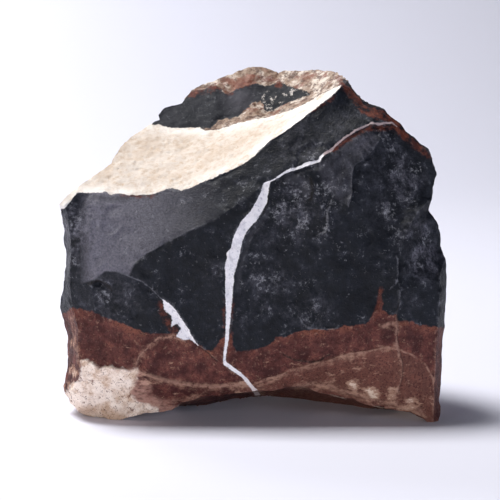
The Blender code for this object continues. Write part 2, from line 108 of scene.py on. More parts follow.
# areas drawn on the front
areas = {
    "brown": [(20, 318), (62, 314), (66, 312), (70, 308), (85, 311), (95, 314), (103, 317), (120, 323),
        (135, 329), (145, 333), (158, 334), (172, 333), (178, 334), (199, 346), (208, 352), (213, 351),
        (220, 342), (225, 335), (232, 340), (233, 348), (236, 352), (247, 351.5), (262, 348), (268, 346),
        (276, 338), (286, 337), (297, 332), (305, 330.5), (330, 330), (337, 329), (345, 326), (363, 325),
        (369, 322), (371, 316), (375, 311), (377, 300), (380, 288), (382, 300), (383, 310), (389, 315),
        (397, 315), (400, 321), (412, 322), (420, 325), (437, 327), (480, 328), (480, 480), (20, 480)],
    # the upper left face, painted paler as sheen where the light falls
    "frostAndSheen": [(78, 194), (100, 188), (150, 185), (220, 160), (280, 120), (341, 80), (350, 92), (366, 108),
        (398, 125), (380, 123), (365, 125), (345, 136.5), (331, 149.5), (320, 160), (300, 167),
        (284, 172.5), (270, 181), (264, 182), (259, 189), (250, 196), (240, 203), (230, 208.5),
        (220, 215.5), (210, 222), (200, 226), (190, 230.5), (183, 235), (175, 238.5), (165, 242),
        (155, 249), (146, 253), (139, 259), (135, 263), (132, 268), (131, 272), (128, 276), (118, 272),
        (105, 271), (95, 279), (80, 284), (79, 250), (78, 215)],
    "cortex": [(64, 209), (70, 202), (74, 196), (80, 192), (87, 193), (103, 192), (106, 191), (110, 194.5),
        (120, 193), (127, 195), (140, 195), (150, 194), (157, 193), (165, 189.5), (173, 188), (181, 191),
        (190, 188), (200, 183), (206, 180), (215, 176), (225, 172), (235, 167.5), (245, 162.5), (250, 159),
        (255, 155), (260, 149.5), (270, 141), (280, 133.5), (290, 127), (300, 119.5), (310, 112),
        (320, 104.5), (330, 98), (334, 94), (340, 88), (341, 85), *rim[::-1], (200, 127), (185, 128),
        (168, 127.5), (160, 125), (153, 125), (140, 110), (95, 150), (40, 195), (50, 210)],
    "crest": [(145, 120), (153, 125), (160, 125), (168, 127.5), (185, 128), (200, 127), (207, 129),
        (211, 128.5), (216, 123), (219, 120.5), (226, 118), (230, 119.5), (238, 116.5), (243, 111.5),
        (253, 103), *hollow, (283, 83), (275, 84), (265, 86), (255, 83.5), (242, 87), (232, 91),
        (228, 93.5), (225, 93), (220, 89), (217, 86), (212, 86), (207, 87.5), (200, 90.5), (193, 91),
        (184, 94), (150, 100)],
    "druse": [*hollow, (283, 86), (272, 88), (262, 94)],
    "crust": [*rim, (336, 87), (340, 84), (344, 78), (350, 50), (180, 50), (184, 94)],
    "foot": [(64, 393), (68, 390), (72, 384), (79, 380), (81, 368), (80, 361), *footTop, (138, 368),
        (137, 376), (134, 384), (131, 392), (135, 400), (145, 404), (158, 407), (160, 440), (40, 440)],
    "pinkFoot": [(128, 369), (140, 372), (150, 386), (150, 395), (158, 400), (172, 403), (180, 407),
        (170, 425), (120, 425), (118, 400), (124, 384)],
    "lens": [(250, 392), (255, 384), *ledgeLip, (399, 350), (412, 355), (425, 364), (433, 378), (436, 400),
        (436, 440), (300, 440), (270, 400)],
    "chalkRight": [(352, 383), (358, 381), (366, 383), (378, 390), (390, 387), (398, 391), (412, 394),
        (421, 402), (424, 413), (410, 409), (395, 408), (378, 406), (364, 401), (352, 396), (340, 392),
        (346, 386)],
    "vein": [(264, 182), (262, 187), (261, 192), (256, 202), (251, 211), (242, 220), (237, 229), (233, 238),
        (231, 248), (226, 253), (227, 258), (224.5, 266), (225, 275), (225.5, 300), (226, 310), (226, 320),
        (225, 340), (224, 350), (223, 360), (223.5, 365), (230, 369.5), (240, 377), (250, 388), (255, 396),
        (261, 396), (250.5, 383.5), (240.5, 372.5), (232, 366.5), (226, 362), (226, 356), (228.5, 340),
        (230.5, 320), (232, 303), (233.5, 288), (234.5, 282), (234, 275), (236, 270), (240, 255),
        (243, 240), (246, 233), (250, 228), (258, 219), (264, 209), (267, 203), (269, 188), (270, 182),
        (275, 180), (280, 177), (284, 174), (290, 171.5), (300, 168.5), (305, 166), (310, 164), (320, 162),
        (322, 157), (325, 154.5), (332, 151), (336, 146), (346, 137.5), (356, 131), (366, 126),
        (371, 123.5), (380, 124), (393, 123), (398, 126), (393, 121), (380, 122), (370, 121.5), (365, 124),
        (355, 129), (345, 135.5), (335, 143.5), (331, 147.5), (324, 151), (319, 156), (318, 159),
        (310, 160.5), (305, 162), (300, 165), (290, 168), (284, 171), (280, 174), (275, 178), (270, 180)],
    # a facet painted paler as sheen
    "sheen": [(318, 166), (330, 156), (345, 143), (358, 135), (370, 131), (381, 138), *facet, (348, 205),
        (338, 200), (328, 190), (320, 178)],
    "patch": [(162, 299), *notch, (199, 347), (190, 340), (185, 341), (176, 337), (178, 333), (181, 329),
        (177, 324), (171, 327), (172, 321), (171, 316), (168, 314), (164, 310)],
}

# strokes, each a run and its half width: rust, dark lines (partly cracks, partly painted shadow under flake
# edges and in hollows), pinkish stretches of the vein, tan lips on the brown, and bevels painted grey as a
# highlight
strokes = {
    "rust": [
        ([(334, 149), (345, 141), (356, 134), (370, 127), (393, 127), (400, 130)], 2.0),
        ([(338, 78), (346, 88), (353, 96), (360, 103)], 3.0),
        ([(364, 108), (376, 113), (388, 117), (398, 122)], 4.6),
        ([(398, 128), (408, 138), (420, 147), (429, 155)], 3.2),
        ([(160, 304), (163, 315), (168, 324), (176, 330)], 3.2),
        ([(224, 300), (224, 330), (221, 354)], 0.6),
        ([(232.5, 298), (231.5, 330), (229, 354)], 0.8),
        ([(190, 94), (200, 90), (210, 90), (216, 86), (222, 87), (229, 92)], 3.0),
        ([(240, 85), (250, 82), (262, 80), (276, 79), (279, 84)], 3.2),
        ([(120, 194), (140, 196.5), (152, 196)], 1.0),
        ([(376, 318), (380, 300), (381, 290)], 1.0),
        ([(312, 110), (322, 105), (334, 97)], 1.0),
    ],
    # dark lines: partly cracks, partly painted shadow under flake edges and in hollows
    "dark": [
        ([(284, 355), (295, 360.5), (310, 362.5), (320, 361), (330, 355)], 0.8),
        ([(89, 284), (97, 281), (104, 283), (111, 290)], 1.4),
        ([(199, 347), (208, 354), (217, 361)], 0.8),
        ([(269, 190), (268, 204), (262, 216)], 0.9),
        ([(311, 178), (313, 190), (310, 200)], 1.8),
        ([(400, 300), (397, 312), (398, 320)], 0.9),
        ([(214, 130), (205, 133), (192, 130)], 0.8),
        ([(130, 195.5), (150, 195.5), (157, 194)], 0.8),
        ([(163, 311), (169, 317), (172, 326)], 1.0),
    ],
    "warm": [
        ([(328, 152), (345, 136), (366, 124), (398, 123)], 5.0),
    ],
    "tanEdge": [
        ([(132, 376), (137, 363), (145, 351), (158, 339), (176, 336), (186, 343)], 1.7),
        ([(137, 371), (153, 379), (170, 382), (190, 387), (210, 388), (240, 387), (262, 392)], 2.4),
        ([(258, 386), (283, 377), (305, 369), (330, 362), (363, 355), (396, 348)], 1.5),
        ([(398, 316), (398, 350), (403, 372), (397, 392)], 0.9),
        ([(382, 327), (397, 325)], 2.6),
        ([(296, 388), (328, 386), (352, 394), (380, 403), (400, 408), (424, 416)], 3.6),
        ([(150, 405), (170, 404), (190, 400), (205, 395)], 2.4),
        ([(70, 318), (74, 340), (78, 362)], 1.6),
    ],
    # bevels painted grey as a highlight where they catch the light
    "grey": [
        ([(268, 210), (261, 222), (252, 233), (247, 243), (245, 254), (240, 270), (238, 290)], 2.2),
        ([(262, 186), (266, 200), (262, 212)], 1.0),
        ([(290, 178), (300, 182), (306, 192)], 5.0),
        ([(304, 158), (312, 156), (320, 153)], 2.5),
        ([(92, 196), (110, 199), (128, 198)], 2.5),
    ],
}

# edges drawn on the front: the run, the half width of its pale line (partly a worn edge, partly a painted
# highlight), the mm by which a step lowers the side to its right (as one travels), and the mm over which
# that heals
seams = [
    ([(89, 285), (97, 282), (104, 284), (112, 291)], 0.0, 0.55, 1.6),
    ([(90, 286), (97, 291), (103, 293), (108, 298)], 0.8, 0.0, 1.0),
    ([(122, 273), (130, 277), (140, 281), (150, 288), (160, 298), *notch, (199, 346), (208, 353),
      (218, 361)], 0.5, 0.35, 4.0),
    ([(136, 371), (137, 363), (139, 357), (145, 351), (155, 342), (158, 338), (175, 338),
      (183, 341)], 0.7, 0.3, 3.0),
    ([(137, 371), (153, 377), (170, 382), (190, 385), (210, 387.5), (240, 386),
      (250, 386)], 1.5, -0.3, 3.5),
    ([(255, 384), *ledgeLip, (396, 346)], 0.8, -0.3, 3.5),
    ([(284, 354), (295, 360), (310, 362), (320, 360.5), (330, 354)], 0.0, -0.3, 1.8),
    ([(380, 346), (399, 350), (412, 355), (425, 364), (433, 378), (434, 387)], 0.8, 0.2, 2.5),
    ([(401, 303), (397, 313), (398, 320), (397, 335), (398, 350), (402, 362), (403, 372), (401, 384),
      (395, 394), (392, 400)], 0.5, -0.35, 3.0),
    ([(395, 254), (398, 259), (399, 273), (398, 279), (395, 284), (391, 288)], 0.7, -0.45, 2.0),
    ([(300, 318), (303, 324), (308, 328), (320, 330), (335, 329)], 0.7, 0.2, 1.5),
    ([(333, 196), (328, 210), (326, 220), (329, 227), (318, 235), (312, 240)], 0.7, 0.3, 2.0),
    ([(300, 388), (310, 386.5), (328, 386), (340, 390), (352, 394), (362, 397), (380, 402), (400, 407),
      (420, 415)], 1.0, 0.2, 1.5),
    ([(383, 327), (390, 323), (397, 325)], 1.6, 0.2, 1.5),
    ([(381, 139), *facet, (349, 205)], 0.0, -0.3, 3.0),
    ([(270, 216), (262, 225), (255, 232), (250, 240), (248, 250), (244, 258), (240, 278)], 0.0, 0.2, 1.6),
    ([(79, 361), *footTop], 0.0, -0.35, 2.0),
    ([(266, 184), (275, 180), (284, 174), (300, 168.5), (310, 164), (320, 162)], 0.0, 0.3, 2.0),
    ([(332, 151), (346, 138), (356, 131), (366, 126), (380, 124), (395, 124)], 0.0, 0.35, 1.6),
]

# spots, each a middle, a radius and a strength: tan patches on the brown, worn and speckled
# places, and hazy places on the black, partly pale haze and partly painted sheen
spots = {
    "tan": [(352, 386, 9, 0.85), (372, 393, 10, 0.9), (392, 396, 9, 0.8), (411, 404, 9, 0.8),
        (330, 376, 17, 0.4), (300, 378, 14, 0.35), (362, 366, 18, 0.32), (408, 372, 12, 0.32),
        (142, 379, 10, 0.8), (246, 386, 10, 0.55), (272, 388, 13, 0.45), (68, 345, 8, 0.35),
        (72, 372, 8, 0.6), (62, 386, 9, 0.6), (180, 352, 14, 0.14), (320, 340, 16, 0.12),
        (390, 335, 12, 0.2), (128, 345, 9, 0.2)],
    "worn": [(302, 224, 8, 1.0), (389, 210, 10, 0.9), (420, 262, 8, 0.7), (260, 280, 8, 0.8),
        (275, 277, 8, 0.8), (268, 290, 7, 0.7), (306, 285, 6, 0.6), (362, 231, 6, 0.5), (391, 228, 6, 0.5),
        (403, 289, 5, 0.6), (243, 284, 5, 0.5), (185, 250, 6, 0.4), (278, 360, 5, 0.4), (386, 137, 7, 0.9),
        (312, 157, 8, 0.9), (272, 98, 9, 1.0), (305, 94, 6, 0.8), (293, 89, 5, 0.8), (312, 315, 14, 0.5),
        (300, 200, 22, 0.5), (330, 190, 12, 0.6), (285, 192, 12, 0.5), (395, 170, 14, 0.5),
        (400, 190, 14, 0.5), (340, 250, 14, 0.3), (290, 240, 14, 0.4), (297, 310, 14, 0.4),
        (70, 205, 5, 0.6), (330, 205, 10, 0.7), (392, 150, 8, 0.6), (255, 262, 10, 0.4),
        (215, 270, 10, 0.3), (280, 212, 14, 0.8), (296, 196, 9, 0.9), (318, 188, 9, 0.9),
        (325, 228, 9, 0.7), (410, 200, 9, 0.7), (400, 238, 12, 0.5), (425, 240, 9, 0.7), (238, 315, 7, 0.5),
        (262, 305, 9, 0.4), (105, 296, 9, 0.8), (120, 310, 9, 0.4), (345, 170, 12, 0.3), (76, 222, 14, 0.6),
        (72, 260, 12, 0.4), (130, 235, 26, 0.3), (230, 190, 20, 0.3), (200, 105, 16, 0.5),
        (240, 100, 14, 0.6), (185, 112, 12, 0.6), (415, 170, 10, 0.6)],
    # places on the black painted paler: partly pale haze, partly painted sheen on facets turned from the
    # light
    "hazeAndSheen": [(424, 262, 15, 0.4), (402, 178, 20, 0.28), (74, 228, 26, 0.34), (80, 262, 24, 0.06),
        (272, 228, 20, 0.1), (424, 256, 15, 0.44), (418, 230, 14, 0.24), (240, 100, 16, 0.42),
        (395, 168, 26, 0.14), (300, 145, 26, 0.12), (345, 125, 20, 0.1), (300, 212, 24, 0.16),
        (385, 205, 18, 0.14), (270, 285, 26, 0.1), (110, 296, 26, 0.14), (312, 316, 20, 0.12),
        (296, 186, 12, 0.24), (410, 300, 12, 0.1), (215, 272, 12, 0.08), (205, 106, 20, 0.07),
        (170, 115, 16, 0.1), (240, 322, 10, 0.08), (365, 142, 12, 0.22)],
}

# how the mesh is made finer and smoothed
surface = {
    "seamEdge": 0.40,  # mm, longest edge beside a drawn line
    "frontEdge": 0.60,  # mm, on the rest of the seen side
    "backEdge": 1.55,  # mm, out of sight
    "seamReach": 3.0,  # view units kept fine beside a line
    "breakCrease": math.radians(8.0),  # sharper than this stays a ridge on a fracture
    "crustCrease": math.radians(38.0),  # the same on cortex and crust
    "mostPasses": 14,
    "smoothRounds": 9,
    "pullIn": 0.5,  # share of the way to the neighbours' middle
    "pushOut": 0.52,
    "ridgeShare": 0.6,  # how far ridges follow the smoothing
    "groundGap": 0.02,  # mm, lower than this stays flat on the ground
    "shadeCrease": math.radians(32.0),  # sharper than this is shaded sharp
    "lift": 0.12,  # mm off the surface, where a ray to the eye starts
}


def placed(name, data):
    thing = bpy.data.objects.new(name, data)
    bpy.context.scene.collection.objects.link(thing)
    return thing


def insideOf(view, outline):
    result = np.zeros(len(view), bool)
    x, y = view[:, 0], view[:, 1]
    for (x1, y1), (x2, y2) in zip(outline, outline[1:] + outline[:1]):
        if y1 == y2:
            continue
        result ^= ((y1 > y) != (y2 > y)) & (x < (x2 - x1) * (y - y1) / (y2 - y1) + x1)
    return result


# distance to a run, and the side of it that each place is on, 1 to its right or -1
def runDistance(view, points, closed=False):
    ends = points[1:] + points[:1] if closed else points[1:]
    best = np.full(len(view), 1e9)
    sign = np.ones(len(view))
    for start, end in zip(points, ends):
        a = np.array(start, float)
        run = np.array(end, float) - a
        t = np.clip(((view - a) @ run) / max(run @ run, 1e-9), 0.0, 1.0)
        gap = np.hypot(*(view - a - t[:, None] * run).T)
        side = run[0] * (view[:, 1] - a[1]) - run[1] * (view[:, 0] - a[0])
        nearer = gap < best - 1e-9
        sign = np.where(nearer, np.where(side >= 0.0, 1.0, -1.0), sign)
        best = np.where(nearer, gap, best)
    return best, sign


# distance inside an area's edge in mm, below 0 outside it
def areaField(view, name):
    gap, _ = runDistance(view, areas[name], closed=True)
    return np.where(insideOf(view, areas[name]), gap, -gap) * unit


def eased(value, start, end):
    s = np.clip((value - start) / (end - start), 0.0, 1.0)
    return s * s * (3.0 - 2.0 * s)


def fractal(points, size, octaves, seed):
    shift = Vector((seed, -1.7 * seed, 0.6 * seed))
    return np.array([
        noise.fractal(Vector(point) / size + shift, 1.0, 2.0, octaves) for point in points
    ])


def cells(points, size, seed):
    shift = Vector((seed, 0.4 * seed, -seed))
    return np.array([noise.voronoi(Vector(point) / size + shift)[0][0] for point in points])


# which view units lie beside a drawn line, as a square of true and false
def fineLines():
    grid = np.arange(eye["unitsAcross"]) + 0.5
    x, y = np.meshgrid(grid, grid)
    view = np.column_stack([x.ravel(), y.ravel()])
    near = np.full(len(view), 1e9)
    for run, *_ in seams:
        near = np.minimum(near, runDistance(view, run)[0])
    for name in ("vein", "patch", "cortex", "crest", "brown"):
        near = np.minimum(near, runDistance(view, areas[name], closed=True)[0])
    return (near < surface["seamReach"]).reshape(x.shape)


# the modelled stone in mm, its points joined, and a tree for rays
def startMesh():
    bm = bmesh.new()
    bm.from_mesh(stoneNode.data)
    bmesh.ops.remove_doubles(bm, verts=bm.verts, dist=0.000002)
    bmesh.ops.triangulate(bm, faces=bm.faces)
    bmesh.ops.scale(bm, vec=(1.0 / mm,) * 3, verts=bm.verts)
    bm.normal_update()
    bm.verts.index_update()
    places = np.array([vert.co[:] for vert in bm.verts])
    corners = np.array([[vert.index for vert in face.verts] for face in bm.faces])
    pairs = np.array([[vert.index for vert in edge.verts] for edge in bm.edges])
    bends = np.array([edge.calc_face_angle(0.0) for edge in bm.edges])
    coarse = BVHTree.FromBMesh(bm)
    bm.free()
    return places, corners, pairs, bends, coarse


# edges that stay ridges, which on cortex and crust takes a sharper bend
def sharpPairs(places, pairs, bends):
    middle = places[pairs].mean(axis=1)
    view = toView(middle)
    rough = np.maximum(areaField(view, "cortex"), areaField(view, "crust")) > -0.3
    rough |= areaField(view, "crest") > 0.6
    rough &= middle[:, 1] < 12.0
    most = np.where(rough, surface["crustCrease"], surface["breakCrease"])
    return pairs[bends > most]


# every edge once, and for each triangle the edge that starts at each of its corners
def edgeTable(corners):
    pairs = np.concatenate([corners[:, [0, 1]], corners[:, [1, 2]], corners[:, [2, 0]]])
    count = int(corners.max()) + 1
    code, place = np.unique(pairs.min(axis=1) * count + pairs.max(axis=1), return_inverse=True)
    return np.column_stack([code // count, code % count]), place.reshape(3, -1).T


def isSharp(pairs, sharp, count):
    code = np.sort(sharp, axis=1) @ np.array([count, 1])
    return np.isin(pairs @ np.array([count, 1]), code)


# triangles whose cut edges get a new point: 1 cut makes two, 2 make three, 3 make four
def splitTriangles(places, corners, cuts, middles):
    made = [corners[cuts.sum(axis=1) == 0]]
    for turn in range(3):
        a, b, c = (corners[:, (turn + k) % 3] for k in range(3))
        ab, bc, ca = (middles[:, (turn + k) % 3] for k in range(3))
        cutAb, cutBc, cutCa = (cuts[:, (turn + k) % 3] for k in range(3))
        one = cutAb & ~cutBc & ~cutCa
        two = cutAb & cutBc & ~cutCa
        first = np.linalg.norm(places[ab] - places[c], axis=1)
        second = np.linalg.norm(places[bc] - places[a], axis=1)
        low, high = two & (first < second), two & (first >= second)
        groups = [
            (one, (a, ab, c)), (one, (ab, b, c)), (two, (ab, b, bc)), (low, (a, ab, c)),
            (low, (ab, bc, c)), (high, (a, ab, bc)), (high, (a, bc, c)),
        ]
        made += [np.column_stack(group)[chosen] for chosen, group in groups]
    a, b, c = corners.T
    ab, bc, ca = middles.T
    three = cuts.all(axis=1)
    for group in ((a, ab, ca), (ab, b, bc), (ca, bc, c), (ab, bc, ca)):
        made.append(np.column_stack(group)[three])
    return np.concatenate(made)


# the cuts, and the longest edge of every triangle that they touch
def withLongest(cut, length, edgeOf):
    longest = np.take_along_axis(edgeOf, length[edgeOf].argmax(axis=1)[:, None], axis=1)[:, 0]
    while True:
        wanted = cut.copy()
        wanted[longest[cut[edgeOf].any(axis=1)]] = True
        if (wanted == cut).all():
            return cut
        cut = wanted


# splits edges until none is longer than its part of the stone allows
def refined(places, corners, sharp):
    beside = fineLines()
    top = eye["unitsAcross"] - 1
    for _ in range(surface["mostPasses"]):
        pairs, edgeOf = edgeTable(corners)
        a, b, c = (places[corners[:, k]] for k in range(3))
        facing = (np.cross(b - a, c - a) * (eyePoint - a)).sum(axis=1) > 0.0
        front = np.bincount(edgeOf[facing].ravel(), minlength=len(pairs)) > 0
        middle = places[pairs].mean(axis=1)
        cell = np.clip(toView(middle), 0, top).astype(int)
        near = np.where(beside[cell[:, 1], cell[:, 0]], surface["seamEdge"],
                        surface["frontEdge"])
        limit = np.where(front, near, surface["backEdge"])
        length = np.linalg.norm(places[pairs[:, 0]] - places[pairs[:, 1]], axis=1)
        cut = length > limit
        if not cut.any():
            break
        cut = withLongest(cut, length, edgeOf)
        newPoint = np.full(len(pairs), 0)
        newPoint[cut] = len(places) + np.arange(cut.sum())
        wasSharp = isSharp(pairs, sharp, len(places))
        places = np.concatenate([places, middle[cut]])
        corners = splitTriangles(places, corners, cut[edgeOf], newPoint[edgeOf])
        both = wasSharp & cut
        sharp = np.concatenate([
            pairs[wasSharp & ~cut],
            np.column_stack([pairs[both, 0], newPoint[both]]),
            np.column_stack([pairs[both, 1], newPoint[both]]),
        ])
    pairs, _ = edgeTable(corners)
    return places, corners, pairs, isSharp(pairs, sharp, len(places))


def neighbourMean(values, ends, count):
    total = np.zeros_like(values)
    np.add.at(total, ends[:, 0], values[ends[:, 1]])
    np.add.at(total, ends[:, 1], values[ends[:, 0]])
    return total / np.maximum(count, 1)[:, None]


# smoothed without shrinking: each pull in is followed by a push out, and ridges slide along
def smoothed(points, ends, sharp):
    size = len(points)
    allCount = np.bincount(ends.ravel(), minlength=size)
    ridge = ends[sharp]
    ridgeCount = np.bincount(ridge.ravel(), minlength=size)
    onGround = points[:, 2] < surface["groundGap"]
    along = ridgeCount == 2
    share = np.where(ridgeCount == 0, 1.0, np.where(along, surface["ridgeShare"], 0.0))
    share[onGround] = 0.0
    for step in range(2 * surface["smoothRounds"]):
        pull = surface["pullIn"] if step % 2 == 0 else -surface["pushOut"]
        plain = neighbourMean(points, ends, allCount)
        slid = neighbourMean(points, ridge, ridgeCount)
        target = np.where(along[:, None], slid, plain)
        points = points + (target - points) * (pull * share)[:, None]
    return points


# values, each round averaged half and half with their neighbours'
def spreadOut(values, ends, count, rounds):
    for _ in range(rounds):
        values = 0.5 * values + 0.5 * neighbourMean(values[:, None], ends, count)[:, 0]
    return values


def pointNormals(points, faces):
    a, b, c = (points[faces[:, k]] for k in range(3))
    flat = np.cross(b - a, c - a)
    normals = np.zeros_like(points)
    for k in range(3):
        np.add.at(normals, faces[:, k], flat)
    return normals / np.maximum(np.linalg.norm(normals, axis=1), 1e-12)[:, None]


# how much of the eye's view reaches each point, 0 to 1
def seenShare(points, normals, coarse, ends, count):
    share = np.zeros(len(points))
    target = Vector(eyePoint)
    for index, (point, normal) in enumerate(zip(points, normals)):
        start = Vector(point + surface["lift"] * normal)
        way = (target - start).normalized()
        if np.dot(normal, way) > -0.05:
            share[index] = coarse.ray_cast(start + way * 0.1, way)[0] is None
    return eased(spreadOut(share, ends, count, 6), 0.25, 0.75)


places, corners, pairs, bends, coarse = startMesh()
points, faces, ends, sharp = refined(places, corners, sharpPairs(places, pairs, bends))
print("fine mesh:", len(points), "points,", len(faces), "triangles,", int(sharp.sum()), "sharp")
points = smoothed(points, ends, sharp)
normals = pointNormals(points, faces)
edgeCount = np.bincount(ends.ravel(), minlength=len(points))
seen = seenShare(points, normals, coarse, ends, edgeCount)
view = toView(points)
print("seen share worked out:", round(float(seen.mean()), 3))

# where each layer runs round the sides that the front doesn't show
hidden = {
    "bandHeight": 20.2,  # mm, the brown band's top
    "bandFall": 0.029,  # its slope to the right
    "bandWander": 1.4,  # mm, how far its top wanders
    "crustHeight": 62.0,  # above this the back is crust
    "crustWander": 3.0,
    "crustRight": 30.0,  # mm, where the crust ends to the right
    "chalkHeight": 2.6,  # below this the brown is chalky
    "chalkWander": 3.5,
    "pinkHeight": 5.6,  # below this it is pinkish
    "pinkWander": 4.0,
    "rind": 1.2,  # how deep the cortex goes in
    "rindWander": 0.5,
    "rindRight": -12.0,  # mm, where the cortex ends to the right
    "rindBack": 9.0,  # mm, and towards the back
    "rindCorners": ((-20.0, 46.5, 6.7), (-13.6, 59.8, 28.0), (7.4, 60.0, 8.6)),
    "rindLevel": 427.0,  # view units, where the corners' heights start
    "worn": 0.15,  # how worn the unseen sides are
    "hazeAndSheen": 0.05,  # how much haze and painted sheen
    "tan": 0.10,  # and how tan the brown is there
}


# depth below the plane that the cortex lies on, in mm
def rindDepth(points):
    corners = []
    for across, up, depth in hidden["rindCorners"]:
        start, way = fromView(eye["centre"][0] + across / unit, hidden["rindLevel"] - up / unit)
        reach = (depth + cadLow.y / mm - start.y) / way.y
        corners.append(np.array(start + way * reach))
    normal = np.cross(corners[1] - corners[0], corners[2] - corners[0])
    normal /= np.linalg.norm(normal)
    return (corners[0] - points) @ (normal * np.sign(normal[2]))


def blended(front, back):
    return seen * front + (1.0 - seen) * back


# distance inside each area's edge in mm, below 0 outside it
def areaFields():
    x, y, z = points.T
    bandTop = hidden["bandHeight"] - hidden["bandFall"] * x + hidden["bandWander"] * broad
    rind = hidden["rind"] - rindDepth(points) + hidden["rindWander"] * middling
    rindEnds = np.minimum(hidden["rindRight"] - x, hidden["rindBack"] - y)
    crust = z - hidden["crustHeight"] + hidden["crustWander"] * broad
    unseen = {
        "brown": bandTop - z,
        "cortex": np.minimum(rind, rindEnds),
        "crust": np.minimum(crust, hidden["crustRight"] - x),
        "foot": hidden["chalkHeight"] - z + hidden["chalkWander"] * broad,
        "pinkFoot": hidden["pinkHeight"] - z + hidden["pinkWander"] * broad,
    }
    return {
        name: blended(areaField(view, name), unseen.get(name, nowhere)) for name in areas
    }


# the same for strokes, each a run and its half width
def strokeField(runs):
    field = np.full(len(points), -9.0)
    for run, width in runs:
        field = np.maximum(field, width - runDistance(view, run)[0])
    return blended(field * unit, nowhere)


# strength round each spot, 0 to 1
def spotField(rows, unseen):
    field = np.zeros(len(points))
    for across, down, radius, strength in rows:
        gap = np.hypot(view[:, 0] - across, view[:, 1] - down) / radius
        field = np.maximum(field, strength * np.exp(-gap * gap))
    return blended(field, unseen)


# signed and plain distance to the nearest pale line, in its half widths
def seamFields():
    far = 9.0
    side = np.full(len(points), far)
    gap = np.full(len(points), far)
    for run, line, *_ in seams:
        if line == 0.0:
            continue
        away, sign = runDistance(view, run)
        scaled = away / line
        nearer = scaled < gap
        gap = np.where(nearer, scaled, gap)
        side = np.where(nearer, sign * scaled, side)
    return np.where(seen > 0.5, side, far), np.where(seen > 0.5, gap, far)


broad = fractal(points, 9.0, 3, 4.2)
middling = fractal(points, 3.5, 3, 8.8)
fine = fractal(points, 1.2, 2, 2.6)
nowhere = np.full(len(points), -3.0)
fields = areaFields()
fields |= {name: strokeField(strokes[name]) for name in strokes}
fields |= {name: spotField(spots[name], hidden[name]) for name in spots}
fields["seamSide"], fields["seamGap"] = seamFields()
print("fields ready:", ", ".join(fields))

# relief, in mm along the normal
relief = {
    "black": (0.11, 0.040),  # swells and grain of each surface
    "sheenFace": (0.035, 0.02),
    "brown": (0.09, 0.06),
    "cortex": (0.18, 0.11),
    "crust": (0.50, 0.20),
    "crest": (0.22, 0.11),
    "foot": (0.34, 0.18),
    "veinSink": 0.12,
    "flakes": (420, (1.6, 8.0), (0.08, 0.32)),  # how many, their sizes and their depths
    "chips": (460, (0.9, 3.2), (0.10, 0.36)),
    "nibbles": (520, (0.5, 1.8), (0.08, 0.32)),
    "pits": (320, (0.35, 0.9), (0.08, 0.24)),
    "sheenFaceShield": 0.6,  # how much of a flake the sheen face is spared
    "stepEase": (-0.15, 0.50),  # across this a seam's step falls
    "stepHeal": 0.3,  # from here it heals
    "stepTips": 14.0,  # view units, over which its ends fade out
    "boxGap": 0.001,  # kept from the modelled stone's box
}


def share(name, width=0.5):
    return eased(fields[name], -width, width)


def between(limits, count):
    return chance.uniform(*limits, count)


# how much of each kind of surface there is at each point, 0 to 1
def surfaceShares():
    cortex = share("cortex")
    crest = share("crest") * (1.0 - cortex)
    crust = share("crust") * (1.0 - cortex) * (1.0 - crest)
    foot = np.maximum(share("foot"), share("chalkRight")) * share("brown")
    brown = share("brown") * (1.0 - foot)
    frostAndSheen = share("frostAndSheen", 1.5) * (1.0 - cortex)
    soft = np.clip(cortex + crest + crust + foot, 0.0, 1.0)
    bare = np.clip(1.0 - soft - brown, 0.0, 1.0)
    return {
        "cortex": cortex, "crest": crest, "crust": crust, "foot": foot, "brown": brown,
        "frostAndSheen": frostAndSheen, "soft": soft, "black": bare * (1.0 - frostAndSheen), "sheenFace": bare * frostAndSheen,
        "vein": np.maximum(share("vein", 0.2), share("patch", 0.2)),
    }


def grainRise(part):
    rise = np.zeros(len(points))
    for name in ("black", "sheenFace", "brown", "cortex", "crust", "crest", "foot"):
        swells, grain = relief[name]
        waves = 0.7 - cells(points, 1.9, 6.1) if name == "crust" else middling
        rise += part[name] * (swells * waves + grain * fine)
    return rise - part["vein"] * relief["veinSink"] * (1.0 + 0.8 * fine)


# the steps along the drawn edges
def stepRise():
    rise = np.zeros(len(points))
    for run, _, drop, reach in seams:
        if drop == 0.0:
            continue
        away, sign = runDistance(view, run)
        across = away * unit * sign * np.sign(drop)
        lowered = eased(across, *relief["stepEase"])
        heal = 1.0 - eased(across, relief["stepHeal"], reach)
        tips = [np.hypot(*(view - np.array(tip)).T) for tip in (run[0], run[-1])]
        fade = eased(np.minimum(*tips), 0.0, relief["stepTips"])
        rise -= abs(drop) * lowered * heal * heal * fade
    return rise * seen


# how deep scars sunk at the seeds reach: round bowls, or ragged ones with a steep side
def scarDepth(seeds, sizes, sinks, stepped):
    depth = np.zeros(len(points))
    for seed, size, sink in zip(seeds, sizes, sinks):
        gap = points - points[seed]
        near = np.flatnonzero(np.abs(gap).max(axis=1) < size * (1.3 if stepped else 1.0))
        gap = gap[near]
        away = (gap ** 2).sum(axis=1) / size**2
        form = 1.0 - away
        if stepped:
            way = np.cross(normals[seed], chance.normal(size=3))
            tilt = 0.5 + 0.5 * (gap @ way) / (size * np.linalg.norm(way))
            form = np.clip(tilt, 0.0, 1.0) * eased(1.0 - away + 0.5 * middling[near], 0.0, 0.3)
        facing = eased(normals[near] @ normals[seed], 0.2, 0.7)
        depth[near] = np.maximum(depth[near], sink * form * facing)
    return depth


def scars(kind, where, weights=None, stepped=False):
    count, sizes, sinks = relief[kind]
    seeds = chance.choice(where, count, p=weights)
    return scarDepth(seeds, between(sizes, count), between(sinks, count), stepped)


